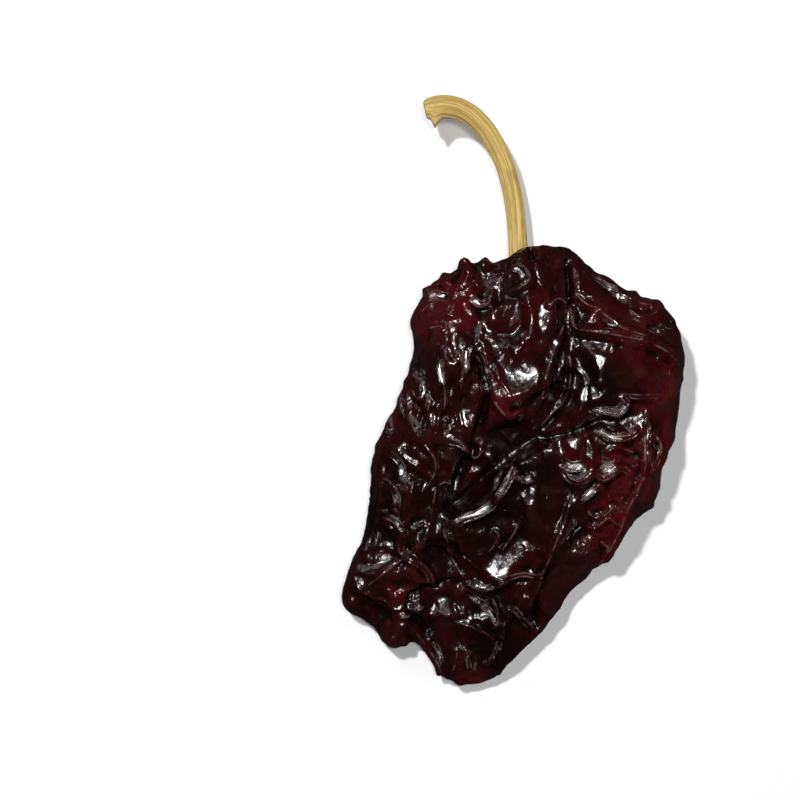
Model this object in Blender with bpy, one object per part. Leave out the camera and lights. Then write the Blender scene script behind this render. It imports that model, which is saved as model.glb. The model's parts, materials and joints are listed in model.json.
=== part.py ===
"""A dried red pepper lying on its side: a flattened, deeply wrinkled pod and the curved stalk with its calyx.

Metres, +Z up. The pod rests on z = 0 with its crown towards +Y and its tip towards -Y.
Sizes below are in millimetres and are scaled once, when the meshes are made.
"""

import math

import bmesh
import bpy
import numpy as np
from mathutils import Vector, noise

MM = 0.001

# The pod's plan: outline corners in mm, seen from above, anticlockwise from the right shoulder.
OUTLINE = (
    (42.9, 6.8), (42.6, 11.5), (37.6, 21.0), (31.9, 23.5), (21.9, 28.8), (14.4, 35.3),
    (8.9, 37.8), (5.1, 36.8), (1.1, 37.8), (-2.8, 35.0), (-4.6, 31.7), (-7.1, 33.2),
    (-9.6, 31.0), (-12.1, 33.2), (-14.6, 29.6), (-20.6, 26.2), (-24.4, 19.0), (-26.1, 10.0),
    (-33.4, -7.5), (-35.1, -19.5), (-37.1, -34.5), (-43.1, -52.8), (-39.6, -56.6),
    (-36.4, -56.6), (-30.6, -62.8), (-25.6, -62.0), (-16.9, -71.6), (-11.1, -74.0),
    (-5.4, -72.8), (5.6, -62.0), (15.4, -49.3), (21.4, -43.5), (31.9, -30.3), (36.4, -25.3),
    (41.4, -7.0),
)
PLAN_CENTRE = (3.1, -12.0)

# How the pod's thickness runs from tip to crown: place along Y, height of the rim, rise of the top above it.
STATIONS = (-75.0, -60.0, -40.0, -15.0, 10.0, 28.0, 40.0)
RIM_HEIGHTS = (5.2, 6.4, 8.4, 10.6, 11.8, 12.0, 12.0)
TOP_RISES = (5.5, 8.6, 12.0, 15.0, 16.4, 15.4, 13.5)
BELLY_PRESS = 0.45  # how far the underside would sink if the table did not flatten it
SECTION_POWER = 0.74  # below 1, so that the pod is boxier than an ellipse in section
FACE_CELLS = 28  # quads along each side of the cube that the pod starts from

# Wrinkles that cover the whole skin.
CELL_ACROSS = 8.0
CELL_ALONG = 11.0
CRUMPLE_HEIGHT = 1.25
SWELL_HEIGHT = 1.1
SWELL_SIZE = 15.0
WARP = 0.8  # how far the cells are bent, as a share of their size
WARP_OFFSETS = (Vector((9.3, 1.5, 3.9)), Vector((1.5, 7.7, 3.9)), Vector((6.3, 1.5, 12.5)))
CREST_SHARE = 0.55  # share of a cell that its raised border takes
SMOOTH_PANEL = (27.0, 7.0)  # middle of the taut right-hand shoulder
SMOOTH_RADIUS = 21.0
SMOOTH_KEEP = 0.25  # share of the wrinkling left on that shoulder
SEED_OFFSET = Vector((3.7, 11.2, 5.9))

# The crown's recess, which holds the calyx.
STALK_X = 1.6
STALK_Z = 9.4
RECESS_RADIUS = 11.5
RECESS_DEPTH = 9.0
RECESS_SLOPE = 0.52  # share of the radius over which the bowl's wall rises
CROWN_Y = 37.4
CROWN_REACH = 15.0  # only skin this near the crown's front is drawn into the recess

# The brow of skin that hangs over the recess and hides the calyx from above.
BROW_REACH = 4.6
BROW_HALF_WIDTH = 17.0
BROW_FOOT = 16.0  # height at which the brow starts
BROW_RISE = 5.0

# The stalk's centreline, from the calyx to the torn end: x, y, z and radius in mm.
STALK = (
    (1.9, 29.0, 9.4, 2.6), (1.8, 30.4, 9.4, 6.4), (1.8, 31.6, 9.4, 6.9), (1.7, 32.8, 9.4, 4.6),
    (1.6, 34.6, 9.3, 3.1), (1.5, 38.0, 9.0, 2.5), (1.1, 43.0, 8.6, 2.3), (0.5, 48.0, 8.4, 2.25),
    (-0.7, 53.0, 8.7, 2.2), (-2.6, 58.9, 9.6, 2.2), (-5.6, 64.6, 11.2, 2.25),
    (-9.2, 68.6, 12.6, 2.35), (-13.2, 70.8, 13.7, 2.5), (-17.2, 71.3, 14.4, 2.7),
    (-19.6, 70.4, 14.6, 2.6), (-20.5, 68.9, 14.5, 2.1), (-20.2, 67.4, 14.4, 1.4),
)
STALK_RIBS = 5
STALK_RIB_DEPTH = 0.12  # share of the radius
STALK_SIDES = 15
STALK_STEPS = 2  # rings between one point of the centreline and the next

SKIN_COLOUR = (0.075, 0.006, 0.008, 1.0)
STALK_COLOUR = (0.52, 0.36, 0.13, 1.0)


class Fold:
    """A ridge or groove in the top of the pod, along a line in plan."""

    def __init__(self, line, height, width, power):
        self.line = line
        self.height = height
        self.width = width
        self.power = power


# The folds that the eye goes to first. Height in mm, below 0 for a groove; a low power gives a round back.
FOLDS = (
    # The valley from the crown down the middle, which then turns to the left flank.
    Fold(((13.4, 33.0), (13.2, 24.0), (13.8, 14.0), (12.6, -1.0), (6.0, -9.5), (-4.0, -15.5),
          (-13.0, -24.0), (-20.0, -33.0)), -4.6, 7.0, 1.3),
    Fold(((-8.2, -4.5), (-8.8, -14.5), (-14.5, -24.5)), -2.6, 5.0, 1.3),
    Fold(((-1.5, -9.5), (-4.5, -14.0)), -3.0, 9.0, 2.0),
    # The crease under the taut shoulder, out to the right.
    Fold(((5.0, -11.0), (13.0, -9.0), (22.0, -7.5), (31.0, -3.0)), -2.8, 5.5, 1.4),
    # The middle lobe below the stalk, and the lobe to the left of it.
    Fold(((3.0, 31.0), (4.0, 22.0), (1.0, 9.0), (-4.0, -1.0)), 3.6, 10.0, 2.0),
    Fold(((-14.0, 24.0), (-16.0, 10.0), (-19.0, -6.0)), 2.4, 9.0, 2.0),
    # The taut shoulder and the long ridge that runs across it.
    Fold(((20.0, 4.0), (33.0, 3.0)), 1.8, 16.0, 2.0),
    Fold(((14.6, 18.0), (22.0, 14.0), (32.0, 12.0), (40.0, 8.0)), 1.5, 4.5, 1.2),
    Fold(((15.5, 30.0), (26.0, 22.0), (35.0, 18.0)), -1.4, 5.0, 1.5),
    # The bent ridge below the valley, and the smooth panel under it.
    Fold(((-1.0, -18.5), (-4.0, -24.0), (-11.0, -30.5), (-15.5, -36.0)), 2.6, 4.5, 1.2),
    Fold(((-3.0, -42.0), (-10.0, -48.0)), 1.6, 10.0, 2.0),
    # The ridge down to the lower right edge, and the groove beside it.
    Fold(((14.6, -24.0), (11.0, -36.0), (7.0, -48.0)), 2.2, 5.0, 1.2),
    Fold(((20.0, -26.0), (16.5, -38.0), (12.0, -46.0)), -1.8, 5.0, 1.4),
    # The ridge that runs inside the right-hand edge.
    Fold(((36.0, -2.0), (33.0, -17.0), (27.0, -31.0), (21.0, -40.0)), 1.9, 5.0, 1.2),
    Fold(((25.0, -14.0), (21.0, -22.0)), 1.7, 7.0, 1.6),
    # The lobes of the lower end and the creases that meet between them.
    Fold(((-11.5, -46.5), (-18.0, -50.0), (-23.0, -55.0)), -2.4, 5.0, 1.4),
    Fold(((-11.5, -46.5), (-2.0, -52.0), (5.0, -51.0)), -1.6, 4.5, 1.4),
    Fold(((-13.0, -60.0), (-6.0, -64.0)), 2.4, 11.0, 2.0),
    Fold(((-29.0, -18.0), (-27.0, -28.0)), 2.2, 9.0, 2.0),
    Fold(((-33.0, -36.0), (-26.0, -42.0), (-20.0, -43.0)), -2.0, 5.0, 1.4),
    Fold(((-33.0, -46.0), (-28.0, -54.0)), 2.0, 7.0, 1.8),
)
FOLD_ENDS = 0.22  # share of a fold's length over which it dies out at either end


def smooth(t):
    """A smooth step from 0 to 1, for numbers or arrays."""
    t = np.clip(t, 0.0, 1.0)
    return t * t * (3.0 - 2.0 * t)


def through(points, steps, closed=False):
    """Points on a smooth curve through the given ones, with this many steps between each two."""
    p = np.asarray(points, float)
    if closed:
        p = np.vstack((p[-1:], p, p[:2]))
    else:
        p = np.vstack((2 * p[0] - p[1], p, 2 * p[-1] - p[-2]))
    made = []
    for before, a, b, after in zip(p, p[1:], p[2:], p[3:]):
        for t in np.arange(steps) / steps:
            made.append(0.5 * (2 * a + (b - before) * t + (2 * before - 5 * a + 4 * b - after) * t**2
                               + (3 * a - before - 3 * b + after) * t**3))
    if not closed:
        made.append(p[-2])
    return np.array(made)


def outline_radius(angles):
    """Distance from the plan's centre to the outline, in each direction."""
    edge = through(OUTLINE, 12, closed=True) - PLAN_CENTRE
    turned = np.arctan2(edge[:, 1], edge[:, 0])
    order = np.argsort(turned)
    return np.interp(angles, turned[order], np.hypot(*edge[order].T), period=2 * math.pi)


def station_value(y, values):
    """The value at a place along the pod, on a smooth curve through the stations."""
    curve = through(list(zip(STATIONS, values)), 10)
    return np.interp(y, curve[:, 0], curve[:, 1])


def fold_height(fold, plan):
    """The fold's height at each point of the plan."""
    line = through(fold.line, 8)
    spans = np.diff(line, axis=0)
    lengths = np.hypot(*spans.T)
    starts = np.concatenate(([0.0], np.cumsum(lengths)[:-1]))
    nearest = np.full(len(plan), np.inf)
    along = np.zeros(len(plan))
    for start, span, length, run in zip(line, spans, lengths, starts):
        t = np.clip((plan - start) @ span / length**2, 0.0, 1.0)
        gap = np.hypot(*(plan - start - t[:, None] * span).T)
        closer = gap < nearest
        nearest = np.where(closer, gap, nearest)
        along = np.where(closer, run + t * length, along)
    share = along / lengths.sum()
    ends = FOLD_ENDS + smooth(np.minimum(share, 1 - share) / FOLD_ENDS) * (1 - FOLD_ENDS)
    return fold.height * ends * np.clip(1 - nearest / fold.width, 0.0, 1.0) ** fold.power


def crumple(point):
    """Height in mm of the skin's wrinkles at a point of the pod: raised cell borders on long swells."""
    place = Vector((point[0] / CELL_ACROSS, point[1] / CELL_ALONG, point[2] / CELL_ACROSS)) + SEED_OFFSET
    place += WARP * Vector([noise.noise(place * 0.9 + offset) for offset in WARP_OFFSETS])
    near, far = noise.voronoi(place)[0][:2]
    crest = max(0.0, 1.0 - (far - near) / CREST_SHARE)
    swell = noise.fractal(Vector(point) / SWELL_SIZE + SEED_OFFSET, 1.0, 2.0, 2)
    return CRUMPLE_HEIGHT * (crest - 0.45) + SWELL_HEIGHT * swell


def crown_shares(points):
    """How much each point, from 0 to 1, belongs to the recess in the crown and to the brow over it."""
    front = smooth((points[:, 1] - (CROWN_Y - CROWN_REACH)) / CROWN_REACH)
    off_axis = np.hypot(points[:, 0] - STALK_X, points[:, 2] - STALK_Z)
    recess = smooth((RECESS_RADIUS - off_axis) / (RECESS_SLOPE * RECESS_RADIUS))
    aside = 1 - smooth(np.abs(points[:, 0] - STALK_X) / BROW_HALF_WIDTH)
    brow = aside * smooth((points[:, 2] - BROW_FOOT) / BROW_RISE)
    return recess * front, brow * front


def material(name, colour, roughness):
    """A plain Principled material."""
    made = bpy.data.materials.new(name)
    made.use_nodes = True
    shader = made.node_tree.nodes["Principled BSDF"]
    shader.inputs["Base Color"].default_value = colour
    shader.inputs["Roughness"].default_value = roughness
    shader.inputs["Metallic"].default_value = 0.0
    return made


def ball_of_quads(cells):
    """A unit ball of even quads, made from a subdivided cube."""
    ball = bmesh.new()
    bmesh.ops.create_cube(ball, size=2.0)
    bmesh.ops.subdivide_edges(ball, edges=ball.edges[:], cuts=cells - 1, use_grid_fill=True)
    for vert in ball.verts:
        x, y, z = vert.co
        vert.co = (
            x * math.sqrt(1 - y * y / 2 - z * z / 2 + y * y * z * z / 3),
            y * math.sqrt(1 - z * z / 2 - x * x / 2 + z * z * x * x / 3),
            z * math.sqrt(1 - x * x / 2 - y * y / 2 + x * x * y * y / 3),
        )
    return ball


def pod_points(ball):
    """The pod's points in mm, each worked out from its direction on the unit ball."""
    across = np.hypot(ball[:, 0], ball[:, 1])
    angle = np.arctan2(ball[:, 1], ball[:, 0])
    reach = outline_radius(angle) * across**SECTION_POWER
    points = np.empty_like(ball)
    points[:, 0] = PLAN_CENTRE[0] + reach * np.cos(angle)
    points[:, 1] = PLAN_CENTRE[1] + reach * np.sin(angle)
    rim = station_value(points[:, 1], RIM_HEIGHTS)
    rise = station_value(points[:, 1], TOP_RISES)
    lift = np.abs(ball[:, 2]) ** SECTION_POWER
    upper = ball[:, 2] > 0
    for fold in FOLDS:
        rise = rise + np.where(upper, fold_height(fold, points[:, :2]), 0.0)
    points[:, 2] = rim + np.where(upper, rise * lift, -(rim + BELLY_PRESS) * lift)
    return points


def make_pod(skin):
    """The wrinkled pod, flattened where it lies on the table."""
    ball = ball_of_quads(FACE_CELLS)
    points = pod_points(np.array([vert.co for vert in ball.verts]))
    recess, brow = crown_shares(points)
    points[:, 1] += BROW_REACH * brow
    for vert, point in zip(ball.verts, points):
        vert.co = point
    ball.normal_update()
    normals = np.array([vert.normal for vert in ball.verts])
    from_panel = np.hypot(points[:, 0] - SMOOTH_PANEL[0], points[:, 1] - SMOOTH_PANEL[1])
    taut = np.where(points[:, 2] > RIM_HEIGHTS[0], 1 - smooth(from_panel / SMOOTH_RADIUS), 0.0)
    amount = (1 - taut * (1 - SMOOTH_KEEP)) * (1 - recess)
    height = np.array([crumple(point) for point in points]) * amount
    points = points + normals * height[:, None]
    points[:, 1] -= RECESS_DEPTH * recess
    points[:, 2] = np.maximum(points[:, 2], 0.0)
    for vert, point in zip(ball.verts, points):
        vert.co = point * MM
    mesh = bpy.data.meshes.new("pod")
    ball.to_mesh(mesh)
    ball.free()
    mesh.shade_smooth()
    mesh.materials.append(skin)
    return bpy.data.objects.new("pod", mesh)


def rib_profile():
    """The stalk's ribbed cross-section, with radius 1."""
    curve = bpy.data.curves.new("stalk_section", "CURVE")
    ring = curve.splines.new("POLY")
    ring.points.add(STALK_SIDES - 1)
    ring.use_cyclic_u = True
    for i, point in enumerate(ring.points):
        turn = -2 * math.pi * i / STALK_SIDES
        radius = 1 - STALK_RIB_DEPTH * (0.5 - 0.5 * math.cos(STALK_RIBS * turn))
        point.co = (radius * math.cos(turn), radius * math.sin(turn), 0.0, 1.0)
    section = bpy.data.objects.new("stalk_section", curve)
    section.hide_render = True
    section.display_type = "WIRE"
    return section


def make_stalk(section, wood):
    """The stalk with its calyx: the ribbed section swept along the centreline, flared at both ends."""
    line = through(STALK, STALK_STEPS)
    curve = bpy.data.curves.new("stalk", "CURVE")
    curve.dimensions = "3D"
    curve.bevel_mode = "OBJECT"
    curve.bevel_object = section
    curve.use_fill_caps = True
    path = curve.splines.new("POLY")
    path.points.add(len(line) - 1)
    for point, (x, y, z, radius) in zip(path.points, line):
        point.co = (x * MM, y * MM, z * MM, 1.0)
        point.radius = radius * MM
    path.use_smooth = True
    curve.materials.append(wood)
    return bpy.data.objects.new("stalk", curve)


def stand_on_origin(objects):
    """Moves the objects together, so that the middle of their box's base is the origin."""
    bpy.context.view_layer.update()
    graph = bpy.context.evaluated_depsgraph_get()
    corners = np.array([corner for obj in objects for corner in obj.evaluated_get(graph).bound_box])
    low, high = corners.min(axis=0), corners.max(axis=0)
    shift = Vector((*(-(low + high) / 2)[:2], -low[2]))
    for obj in objects:
        obj.location += shift


def collection(name, objects):
    """A new collection in the scene that holds these objects."""
    made = bpy.data.collections.new(name)
    bpy.context.scene.collection.children.link(made)
    for obj in objects:
        made.objects.link(obj)
    return made


def main():
    for obj in list(bpy.data.objects):
        bpy.data.objects.remove(obj)
    skin = material("pepper_skin", SKIN_COLOUR, 0.28)
    wood = material("stalk_wood", STALK_COLOUR, 0.7)
    section = rib_profile()
    pieces = (make_pod(skin), make_stalk(section, wood))
    collection("guides", (section,))
    collection("dried_pepper", pieces)
    stand_on_origin(pieces)


main()
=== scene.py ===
"""The looks of a dried red pepper: its crumpled glossy skin, its ribbed stalk and the calyx in its crown.

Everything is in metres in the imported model's frame: +Z is up, +Y runs towards the stalk, and the pepper lies
on z = 0.
"""

from __future__ import annotations

import json
import logging
import math
from dataclasses import dataclass, field

import bmesh
import bpy
import numpy as np
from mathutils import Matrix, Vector, noise

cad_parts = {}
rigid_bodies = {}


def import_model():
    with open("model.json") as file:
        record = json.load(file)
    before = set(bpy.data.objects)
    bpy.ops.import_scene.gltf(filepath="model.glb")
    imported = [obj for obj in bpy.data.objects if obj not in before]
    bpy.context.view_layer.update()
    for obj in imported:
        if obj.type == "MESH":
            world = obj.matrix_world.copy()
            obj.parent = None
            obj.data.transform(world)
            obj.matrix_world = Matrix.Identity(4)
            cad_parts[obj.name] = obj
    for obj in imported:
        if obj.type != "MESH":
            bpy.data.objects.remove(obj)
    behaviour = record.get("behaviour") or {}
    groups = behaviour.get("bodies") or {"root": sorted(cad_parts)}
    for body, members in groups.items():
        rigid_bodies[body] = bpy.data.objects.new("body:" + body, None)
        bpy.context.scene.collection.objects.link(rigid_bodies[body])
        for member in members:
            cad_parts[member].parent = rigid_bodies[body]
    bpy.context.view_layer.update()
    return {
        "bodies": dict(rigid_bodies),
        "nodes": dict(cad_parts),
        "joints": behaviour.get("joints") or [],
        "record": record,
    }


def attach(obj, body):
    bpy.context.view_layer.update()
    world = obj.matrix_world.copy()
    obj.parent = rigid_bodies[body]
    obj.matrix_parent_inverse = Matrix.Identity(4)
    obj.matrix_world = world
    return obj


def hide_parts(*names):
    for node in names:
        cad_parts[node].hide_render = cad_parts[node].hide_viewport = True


LOG = logging.getLogger("dried_pepper")
MM = 0.001
BODY = "root"
PIXELS_PER_METRE = 4000.0
BOX_MIDDLE = (511.6, 393.3)  # pixel of the middle of the pepper's box
TOP_SIDE = 5 * MM  # what is seen from above lies over this height
EVERYWHERE = -TOP_SIDE

Triple = tuple[float, float, float]
Colour = Triple
Pixel = tuple[float, float]
Pixels = tuple[Pixel, ...]


class Wire:
    """A shader socket that can be used in sums: an expression on it adds the Math nodes it needs."""

    def __init__(self, finish: Finish, socket: bpy.types.NodeSocket) -> None:
        """Wraps an output socket of the finish's node tree."""
        self.finish = finish
        self.socket = socket

    def _sum(self, operation: str, *values: Wire | float) -> Wire:
        """One Math node on these values, in this order."""
        return self.finish.node("ShaderNodeMath", {"operation": operation}, dict(enumerate(values)))

    def __add__(self, other: Wire | float) -> Wire:
        """self + other."""
        return self._sum("ADD", self, other)

    def __sub__(self, other: Wire | float) -> Wire:
        """self - other."""
        return self._sum("SUBTRACT", self, other)

    def __rsub__(self, other: float) -> Wire:
        """other - self."""
        return self._sum("SUBTRACT", other, self)

    def __mul__(self, other: Wire | float) -> Wire:
        """self * other."""
        return self._sum("MULTIPLY", self, other)

    def __abs__(self) -> Wire:
        """The size of self without its sign."""
        return self._sum("ABSOLUTE", self)

    __radd__ = __add__
    __rmul__ = __mul__

    def between(self, low: float, high: float) -> Wire:
        """0 below low, 1 above high, and a smooth step from one to the other."""
        sockets = {"Value": self, "From Min": low, "From Max": high}
        return self.finish.node("ShaderNodeMapRange", {"interpolation_type": "SMOOTHSTEP"}, sockets)


class Finish:
    """A procedural material under construction, with one Principled shader."""

    def __init__(self, name: str) -> None:
        """Makes an empty material of this name."""
        self.material = bpy.data.materials.new(name)
        self.material.use_nodes = True
        self.tree = self.material.node_tree
        self.shader = self.tree.nodes["Principled BSDF"]

    def node(self, kind: str, settings: dict, sockets: dict, output: int | str = 0) -> Wire:
        """Adds a node.

        Args:
            kind: the node's type, such as ShaderNodeTexNoise.
            settings: properties to set before its sockets.
            sockets: values or wires for its inputs, by name or number.
            output: the output wanted.

        Returns:
            The output as a wire.
        """
        made = self.tree.nodes.new(kind)
        for name, value in settings.items():
            setattr(made, name, value)
        for key, value in sockets.items():
            self._feed(made.inputs[key], value)
        return Wire(self, made.outputs[output])

    def _feed(self, socket: bpy.types.NodeSocket, value: Wire | float | Colour) -> None:
        """Links a wire to a socket, or sets the socket's own value."""
        if isinstance(value, Wire):
            self.tree.links.new(value.socket, socket)
        elif isinstance(value, tuple) and len(socket.default_value) > len(value):
            socket.default_value = (*value, 1.0)
        else:
            socket.default_value = value

    def place(self) -> Wire:
        """Coordinates on the object, in metres."""
        return self.node("ShaderNodeTexCoord", {}, {}, "Object")

    def mottle(
        self, size: float, detail: float = 2.0, stretch: Triple = (1.0, 1.0, 1.0), warp: float = 0.0
    ) -> Wire:
        """Soft noise from 0 to 1 with features of about this size in metres, stretched along the axes."""
        at = self.node("ShaderNodeVectorMath", {"operation": "DIVIDE"}, {0: self.place(), 1: stretch})
        sockets = {"Vector": at, "Scale": 1.0 / size, "Detail": detail, "Distortion": warp}
        return self.node("ShaderNodeTexNoise", {}, sockets)

    def blend(self, share: Wire, first: Wire | Colour, second: Wire | Colour) -> Wire:
        """A colour that runs from first to second as share goes from 0 to 1."""
        return self.node("ShaderNodeMix", {"data_type": "RGBA"}, {0: share, 6: first, 7: second}, 2)

    def attribute(self, name: str) -> Wire:
        """A number kept on the mesh's points."""
        return self.node("ShaderNodeAttribute", {"attribute_name": name}, {}, "Fac")

    def bump(self, height: Wire, distance: float, strength: float, under: Wire | None = None) -> Wire:
        """A Bump node on a height, over another bump where one is given."""
        sockets = {"Height": height, "Distance": distance, "Strength": strength}
        if under:
            sockets["Normal"] = under
        return self.node("ShaderNodeBump", {}, sockets, "Normal")

    def set(self, **sockets: Wire | float | Colour) -> bpy.types.Material:
        """Feeds the Principled shader, with _ for each space in a socket's name, and returns the material."""
        for name, value in sockets.items():
            self._feed(self.shader.inputs[name.replace("_", " ")], value)
        return self.material


@dataclass(frozen=True)
class PepperSkin:
    """Dried pepper skin: near-black wine red, clearer red where it is thin, under a natural gloss."""

    black: Colour = (0.0036, 0.0008, 0.0009)
    wine: Colour = (0.0165, 0.0011, 0.0020)
    red: Colour = (0.0620, 0.0024, 0.0048)
    brown: Colour = (0.0340, 0.0100, 0.0048)
    crest: Colour = (0.0300, 0.0034, 0.0036)
    dust: Colour = (0.0700, 0.0380, 0.0310)
    # pale colour of the painted highlight lines along the ridges
    edge: Colour = (0.1900, 0.1250, 0.1200)

    def material(self) -> bpy.types.Material:
        """Builds the skin's material. It reads the mesh's relief, tone and seam attributes."""
        f = Finish("pepper_skin")
        relief = f.attribute("relief")
        streaks = f.mottle(0.006, 3.0, stretch=(1.0, 2.2, 1.0), warp=0.8)
        tone = f.attribute("tone") + 0.5 * streaks - 0.25
        wine = f.blend(tone.between(0.1, 0.6), self.black, self.wine)
        lit = f.blend(tone.between(0.5, 1.05), wine, self.red)
        browned = f.blend(f.mottle(0.008, 3.0, warp=1.0).between(0.5, 0.7) * tone * 0.6, lit, self.brown)
        crested = f.blend(relief.between(0.56, 0.95) * 0.55, browned, self.crest)
        # painted shade: the low hollows of the relief are darkened towards black
        painted_hollow_shade = f.blend(relief.between(0.12, 0.5), self.black, crested)
        dusty = f.mottle(0.011, 5.0, warp=1.2).between(0.56, 0.78) * 0.16
        # painted highlight: thin pale lines along the ridges' seams stand in for the gloss on their crests
        painted_ridge_highlight = abs(f.attribute("seam")).between(0.30, 0.05) * f.attribute("seam_share").between(0.2, 1.0)
        veined = f.blend(f.mottle(0.0011, 4.0, warp=1.5).between(0.48, 0.68) * 0.6, painted_hollow_shade, self.black)
        patchy = f.mottle(0.003).between(0.4, 0.7)
        colour = f.blend(painted_ridge_highlight * patchy * 0.55, f.blend(dusty, veined, self.dust), self.edge)
        gloss = tone.between(0.0, 0.45) * (0.3 + 0.7 * relief.between(0.25, 0.5))
        rough = 0.22 + 0.08 * f.mottle(0.004, 4.0) + 0.5 * dusty - 0.06 * gloss
        pores = f.bump(f.mottle(0.0005), 0.00005, 0.5)
        creases = f.bump(f.mottle(0.0016, 4.0, stretch=(1.0, 1.6, 1.0), warp=1.0), 0.0006, 0.38, pores)
        pleats = f.bump(self._pleats(f, 0.011, (1.0, 1.5, 1.0), 0.030), 0.00012, 1.0, creases)
        seams = (1.0 - abs(f.attribute("seam")).between(0.0, 0.42)) * f.attribute("seam_share")
        normal = f.bump(seams, 0.00016, 1.0, pleats)
        return f.set(
            Base_Color=colour, Roughness=rough, Normal=normal, IOR=1.42,
            Coat_Weight=0.1 + 0.4 * gloss, Coat_Roughness=0.14, Coat_IOR=1.5,
        )

    @staticmethod
    def _pleats(f: Finish, size: float, stretch: Triple, width: float) -> Wire:
        """Thin raised lines that come and go, where soft noise of this size crosses its middle."""
        crossing = abs(f.mottle(size, 1.0, stretch, 1.5) - 0.5)
        shown = f.mottle(1.5 * size, 1.0, stretch).between(0.40, 0.55)
        return (1.0 - crossing.between(0.0, width)) * shown


@dataclass(frozen=True)
class StalkWood:
    """Dry stalk: straw yellow, darker in its furrows, with olive stains."""

    straw: Colour = (0.45, 0.30, 0.080)
    pale: Colour = (0.58, 0.42, 0.15)
    furrow: Colour = (0.25, 0.135, 0.050)
    olive: Colour = (0.26, 0.19, 0.055)
    torn: Colour = (0.16, 0.105, 0.035)

    def material(self) -> bpy.types.Material:
        """Builds the stalk's material. It reads the mesh's relief, fibre and torn attributes."""
        f = Finish("stalk_wood")
        fibre = f.attribute("fibre")
        stain = f.mottle(0.007, 4.0, warp=1.0)
        straw = f.blend(fibre.between(0.35, 0.8), self.straw, self.pale)
        green = f.blend(stain.between(0.5, 0.75) * 0.5, straw, self.olive)
        furrowed = f.blend(0.45 - 0.45 * f.attribute("relief").between(0.0, 0.45), green, self.furrow)
        colour = f.blend(f.attribute("torn"), furrowed, self.torn)
        grain = f.bump(f.mottle(0.0004, 3.0), 0.0001, 0.5)
        return f.set(Base_Color=colour, Roughness=0.62 + 0.2 * stain, Normal=grain, IOR=1.45)


@dataclass(frozen=True)
class PaleTable:
    """The plain pale floor."""

    colour: Colour = (0.80, 0.80, 0.81)
    glow: float = 0.10  # light that the white ground gives back into the shadow

    def material(self) -> bpy.types.Material:
        """Builds the floor's material."""
        return Finish("pale_table").set(
            Base_Color=self.colour, Roughness=0.7, Emission_Color=self.colour, Emission_Strength=self.glow
        )


@dataclass(frozen=True)
class Line:
    """A ridge of the skin or, below 0, a crease, followed in the photograph's pixels from above."""

    height: float  # mm
    width: float  # mm from its middle to where it ends
    pixels: Pixels
    flat: float = 0.0  # share of the width that is level

    @property
    def inset(self) -> float:
        """How far from its middle its sharp edge runs, in mm."""
        return self.flat * self.width


def alike(height: float, width: float, *courses: Pixels, flat: float = 0.0) -> list[Line]:
    """Lines of one height and width, along each course of pixels."""
    return [Line(height, width, pixels, flat) for pixels in courses]


@dataclass(frozen=True)
class Patch:
    """A round part of the skin that differs from the rest by some amount, in the photograph's pixels."""

    amount: float
    middle: Pixel
    radius: float

    def share(self, points: np.ndarray, above: float) -> np.ndarray:
        """How far each column of points above this height belongs to the patch, from 0 to 1."""
        x, y = on_table((self.middle,))[0]
        away = np.hypot(points[0] - x, points[1] - y) * PIXELS_PER_METRE
        return (1 - smooth(away / self.radius)) * smooth((points[2] - above) / TOP_SIDE)


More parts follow.
